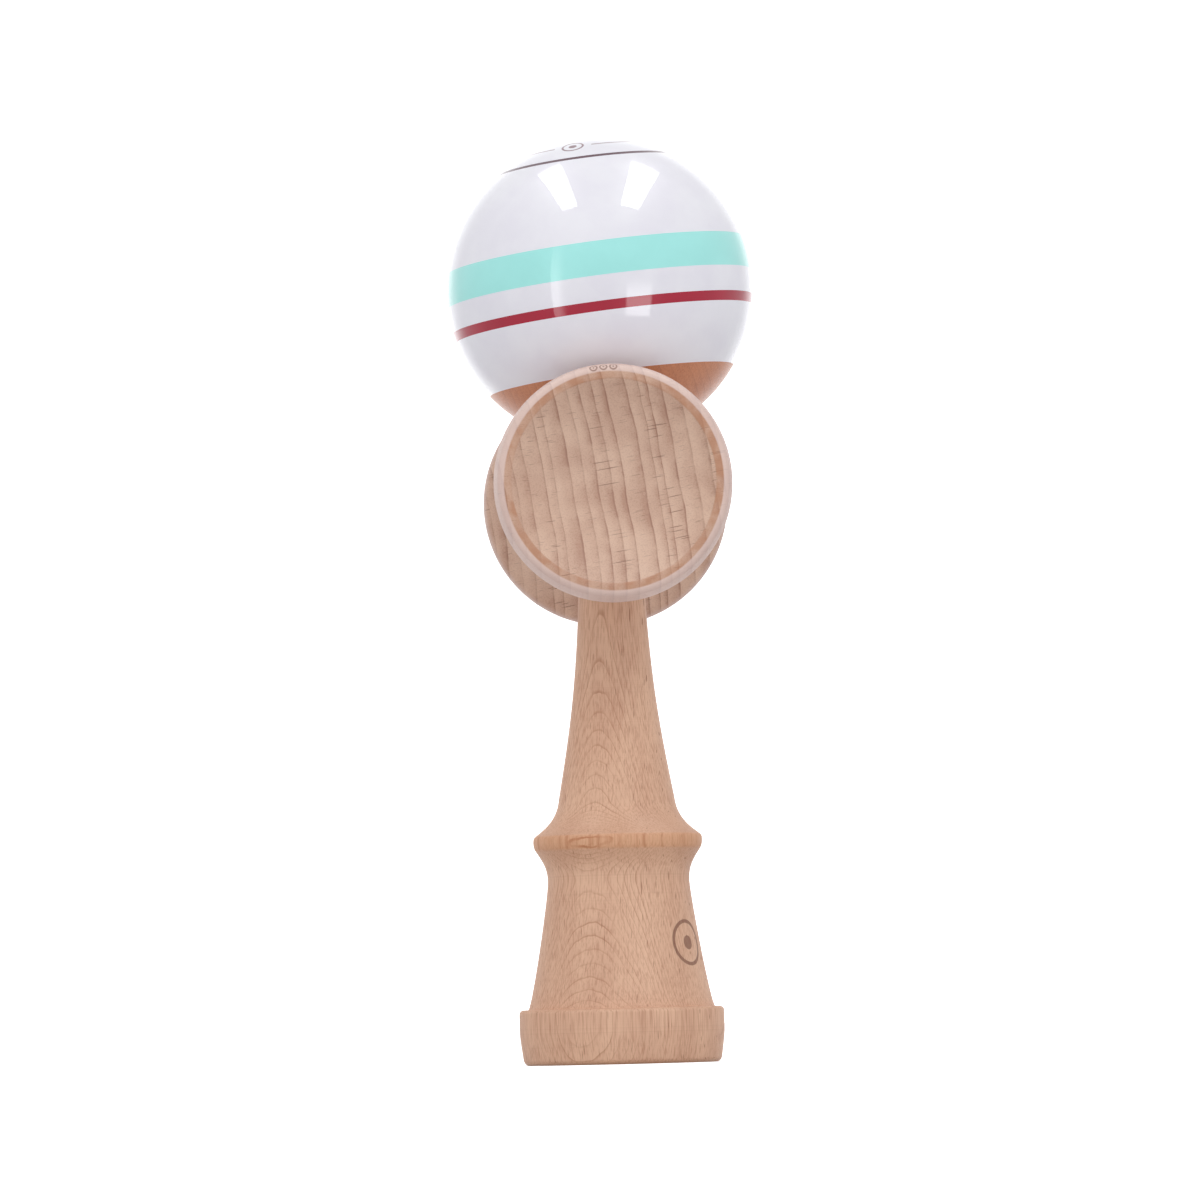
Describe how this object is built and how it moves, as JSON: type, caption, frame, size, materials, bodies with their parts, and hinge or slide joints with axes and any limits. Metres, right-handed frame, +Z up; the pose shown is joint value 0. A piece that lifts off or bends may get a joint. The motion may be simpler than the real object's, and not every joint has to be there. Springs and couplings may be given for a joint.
{
  "type": "kendama",
  "caption": "Wooden cup-and-ball skill toy: a turned handle with base cup and spike, a crosspiece with a cup at each end, and a lacquered ball parked on the spike.",
  "frame": {"origin": "on the handle's axis, in the plane of the base cup's rim, where the toy stands", "axes": "+Z up the handle towards the spike's tip; +Y along the crosspiece from the small cup to the big cup; +X completes the right hand"},
  "size_m": [0.06, 0.07, 0.1812],
  "materials": {
    "beech_long_grain": "sanded bare beech, grain along the handle",
    "beech_end_grain": "sanded bare beech, end grain in the cups",
    "beech_ball": "clear-coated beech",
    "lacquer_white": "high-gloss lacquer",
    "lacquer_mint": "high-gloss lacquer",
    "lacquer_burgundy": "high-gloss lacquer"
  },
  "bodies": {
    "handle": {"ken": "beech_long_grain"},
    "crosspiece": {"sarado": "beech_end_grain"},
    "ball": {"tama_core": "beech_ball", "lacquer_lower_white": "lacquer_white", "lacquer_burgundy_line": "lacquer_burgundy", "lacquer_middle_white": "lacquer_white", "lacquer_mint_band": "lacquer_mint", "lacquer_upper_white": "lacquer_white", "lacquer_fine_line": "lacquer_burgundy", "lacquer_cap_white": "lacquer_white"}
  },
  "joints": [
    {"name": "crosspiece_lift", "type": "slide", "parent": "handle", "child": "crosspiece", "axis": [0, 0, 1], "range_m": [0, 0.065]},
    {"name": "ball_lift", "type": "slide", "parent": "crosspiece", "child": "ball", "axis": [0, 0, 1], "range_m": [0, 0.04]}
  ]
}
